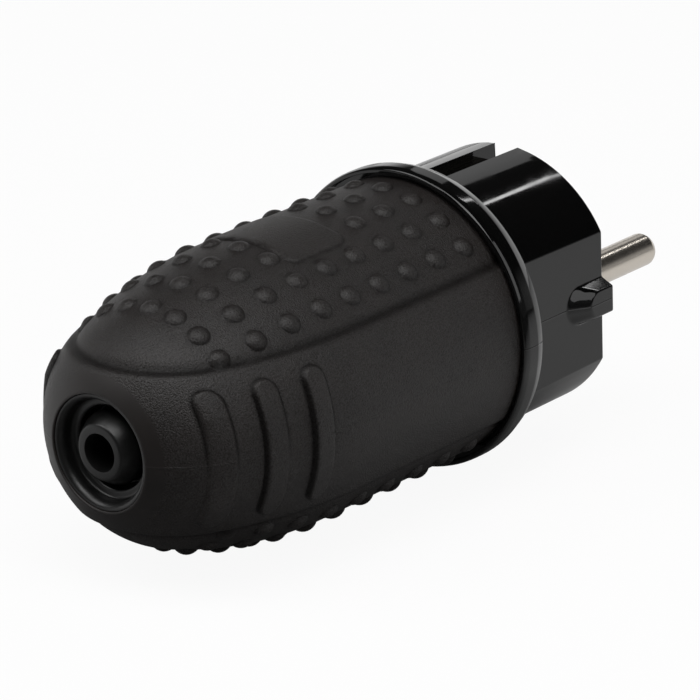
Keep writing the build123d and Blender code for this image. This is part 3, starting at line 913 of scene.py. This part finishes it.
class PLUG_OT_stage(bpy.types.Operator):
    """Set the floor, the lights, the world and the camera"""
    bl_idname = "plug.stage"
    bl_label = "Stage"
    # Where the flange touches the floor, from the hood's end, and the room from there to the bumps
    touch = 0.6 * MM
    clear_of_flange = 5 * MM
    # The plug's middle, which the lamps are aimed at, and their distance from it
    middle = (-35 * MM, 0, 0)
    lamp_distance = 1.05
    sensor = 36

    def floor(self, context):
        """White paper under the plug, which rests on its flange and its lower bumps.

        The camera sees it nearly white, with a faint shadow. For reflections its colour and glow carry
        painted shade on the room's dark side and a painted shadow close to the plug.
        """
        rest_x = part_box("hood")[1].x - self.touch
        rest_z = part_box("contact_carrier")[0].z
        rubber = frame["nodes"]["hood"].data.vertices
        low = [v.co for v in rubber if v.co.x < rest_x - self.clear_of_flange]
        slope = min((co.z - rest_z) / (rest_x - co.x) for co in low)
        deselect()
        bpy.ops.mesh.primitive_plane_add(size=context.scene.plug_stage.floor)
        paper = bpy.context.object
        paper.name = "floor"
        tilt = Matrix.Rotation(math.atan(slope), 4, "Y")
        paper.matrix_world = Matrix.Translation((rest_x, 0, rest_z)) @ tilt
        made, tree, shader = new_material("studio_paper")
        shader.inputs["Roughness"].default_value = 0.9
        path = add(tree, "ShaderNodeLightPath").outputs
        place = add(tree, "ShaderNodeTexCoord").outputs["Object"]
        # Painted shade for reflections: darker towards the room's dark side
        near = add(tree, "ShaderNodeVectorMath", {0: place, 1: DARK_SIDE}, operation="DOT_PRODUCT")
        side = add(tree, "ShaderNodeMapRange", {
            "Value": near.outputs["Value"], "From Min": 0.03, "From Max": 0.1,
            "To Min": 1.0, "To Max": 0.05}).outputs["Result"]
        # Painted shadow for reflections: darker close to the plug
        ahead = add(tree, "ShaderNodeVectorMath", {0: place, 1: (0, -1, -1)}, operation="MAXIMUM")
        apart = add(tree, "ShaderNodeVectorMath", {0: ahead.outputs["Vector"]}, operation="LENGTH")
        clear = add(tree, "ShaderNodeMapRange", {
            "Value": apart.outputs["Value"], "From Min": 0.015, "From Max": 0.045,
            "To Min": 0.15, "To Max": 0.85}).outputs["Result"]
        level = add(tree, "ShaderNodeMath", {0: side, 1: clear}, operation="MULTIPLY").outputs["Value"]
        mirrored = add(tree, "ShaderNodeMath", {0: path["Is Glossy Ray"], 1: path["Is Transmission Ray"]},
                       operation="MAXIMUM").outputs["Value"]
        direct = add(tree, "ShaderNodeMath", {0: 1.0, 1: mirrored}, operation="SUBTRACT").outputs["Value"]
        level = add(tree, "ShaderNodeMath", {0: level, 1: direct}, operation="MAXIMUM").outputs["Value"]
        shade = add(tree, "ShaderNodeHueSaturation", {
            "Value": level, "Color": (*context.scene.plug_finishes.floor_paper, 1)})
        tree.links.new(shade.outputs["Color"], shader.inputs["Base Color"])
        faint = add(tree, "ShaderNodeMath", {0: mirrored, 1: 0.2}, operation="MULTIPLY").outputs["Value"]
        share = add(tree, "ShaderNodeMath", {0: path["Is Camera Ray"], 1: 0.93, 2: faint},
                    operation="MULTIPLY_ADD")
        white = add(tree, "ShaderNodeEmission", {"Color": (1, 1, 1, 1), "Strength": level})
        mixed = add(tree, "ShaderNodeMixShader", {
            0: share.outputs["Value"], 1: shader.outputs["BSDF"], 2: white.outputs["Emission"]})
        tree.links.new(mixed.outputs["Shader"], tree.nodes["Material Output"].inputs["Surface"])
        paper.data.materials.append(made)

    def world(self, context):
        """A dim room, pale near the horizon behind the plug, and white where the camera sees it."""
        made = bpy.data.worlds.new("studio")
        made.use_nodes = True
        tree = made.node_tree
        ray = add(tree, "ShaderNodeTexCoord").outputs["Generated"]
        height = add(tree, "ShaderNodeSeparateXYZ", {"Vector": ray}).outputs["Z"]
        near = add(tree, "ShaderNodeVectorMath", {0: ray, 1: DARK_SIDE}, operation="DOT_PRODUCT")
        rise = add(tree, "ShaderNodeMapRange", {
            "Value": height, "From Min": 0.14, "From Max": 0.34,
            "To Min": 1.0, "To Max": 0.02}).outputs["Result"]
        side = add(tree, "ShaderNodeMapRange", {
            "Value": near.outputs["Value"], "From Min": -0.4, "From Max": 0.2,
            "To Min": 1.0, "To Max": 0.1}).outputs["Result"]
        level = add(tree, "ShaderNodeMath", {0: rise, 1: side}, operation="MULTIPLY").outputs["Value"]
        seen = add(tree, "ShaderNodeLightPath").outputs["Is Camera Ray"]
        level = add(tree, "ShaderNodeMath", {0: level, 1: seen}, operation="MAXIMUM").outputs["Value"]
        tree.links.new(level, tree.nodes["Background"].inputs["Strength"])
        tree.nodes["Background"].inputs["Color"].default_value = (1, 1, 1, 1)
        context.scene.world = made

    def lamp(self, name, way, size, watts):
        """A rectangular soft box about a metre off in a given direction, aimed at the plug's middle."""
        aim = Vector(self.middle)
        place = aim + Vector(way).normalized() * self.lamp_distance
        made = bpy.data.lights.new(name, "AREA")
        made.shape = "RECTANGLE"
        made.size, made.size_y = size
        made.energy = watts
        box = bpy.data.objects.new(name, made)
        bpy.context.collection.objects.link(box)
        box.location = place
        box.rotation_euler = (aim - place).to_track_quat("-Z", "Y").to_euler()

    def camera(self, context):
        """The photograph's view, framed for a square picture."""
        size = context.scene.plug_stage
        made = bpy.data.cameras.new("camera")
        made.lens, made.sensor_width, made.sensor_fit = size.lens, self.sensor, "AUTO"
        made.clip_start, made.clip_end = 0.01, 20
        eye = bpy.data.objects.new("camera", made)
        bpy.context.collection.objects.link(eye)
        level = math.cos(size.elevation)
        back = Vector((
            math.sin(size.azimuth) * level, -math.cos(size.azimuth) * level, math.sin(size.elevation)))
        eye.location = Vector(size.target) + back * size.distance
        turn = (-back).to_track_quat("-Z", "Y").to_matrix().to_4x4() @ Matrix.Rotation(size.roll, 4, "Z")
        eye.rotation_euler = turn.to_euler()
        context.scene.camera = eye

    def execute(self, context):
        self.floor(context)
        self.world(context)
        self.lamp("ceiling_box", (-0.25, -0.22, 0.95), (0.9, 0.75), 7.6)
        self.lamp("window_box", (0.1, -0.86, 0.5), (0.7, 0.75), 2.4)
        self.lamp("back_box", (-0.5, 0.45, 0.74), (0.6, 0.5), 3.0)
        self.lamp("strip_box", (0.739, 0.032, 0.673), (0.03, 0.35), 0.25)
        self.lamp("side_box", (0.735, 0.44, 0.51), (0.25, 0.35), 0.16)
        self.camera(context)
        context.scene.view_settings.view_transform = "Standard"
        return {"FINISHED"}


class PLUG_PT_panel(bpy.types.Panel):
    """Steps of the plug, in order"""
    bl_idname = "PLUG_PT_panel"
    bl_label = "Rubber plug"
    bl_space_type = "VIEW_3D"
    bl_region_type = "UI"
    bl_category = "Rubber plug"

    def draw(self, context):
        for step in STEPS:
            self.layout.operator(step.bl_idname)
        for group in GROUPS:
            sizes = getattr(context.scene, group)
            self.layout.label(text=sizes.bl_rna.description)
            for name in sizes.bl_rna.properties.keys():
                if name not in ("rna_type", "name"):
                    self.layout.prop(sizes, name)


STEPS = (PLUG_OT_hood, PLUG_OT_grommet, PLUG_OT_carrier, PLUG_OT_pins, PLUG_OT_bracket, PLUG_OT_terminals,
         PLUG_OT_stage)
GROUPS = {
    "plug_hood": HoodSizes,
    "plug_front": FrontSizes,
    "plug_finishes": Finishes,
    "plug_stage": StageSizes,
}


def register():
    """Registers the property groups, operators and panel."""
    for name, group in GROUPS.items():
        bpy.utils.register_class(group)
        setattr(bpy.types.Scene, name, PointerProperty(type=group))
    for made in (*STEPS, PLUG_PT_panel):
        bpy.utils.register_class(made)


def unregister():
    """Removes what register added."""
    for made in (PLUG_PT_panel, *reversed(STEPS)):
        bpy.utils.unregister_class(made)
    for name, group in reversed(GROUPS.items()):
        delattr(bpy.types.Scene, name)
        bpy.utils.unregister_class(group)


def main():
    """Builds the plug and its stage."""
    register()
    bpy.ops.plug.hood()
    bpy.ops.plug.grommet()
    bpy.ops.plug.carrier()
    bpy.ops.plug.pins()
    bpy.ops.plug.bracket()
    bpy.ops.plug.terminals()
    bpy.ops.plug.stage()


if __name__ == "__main__":
    main()
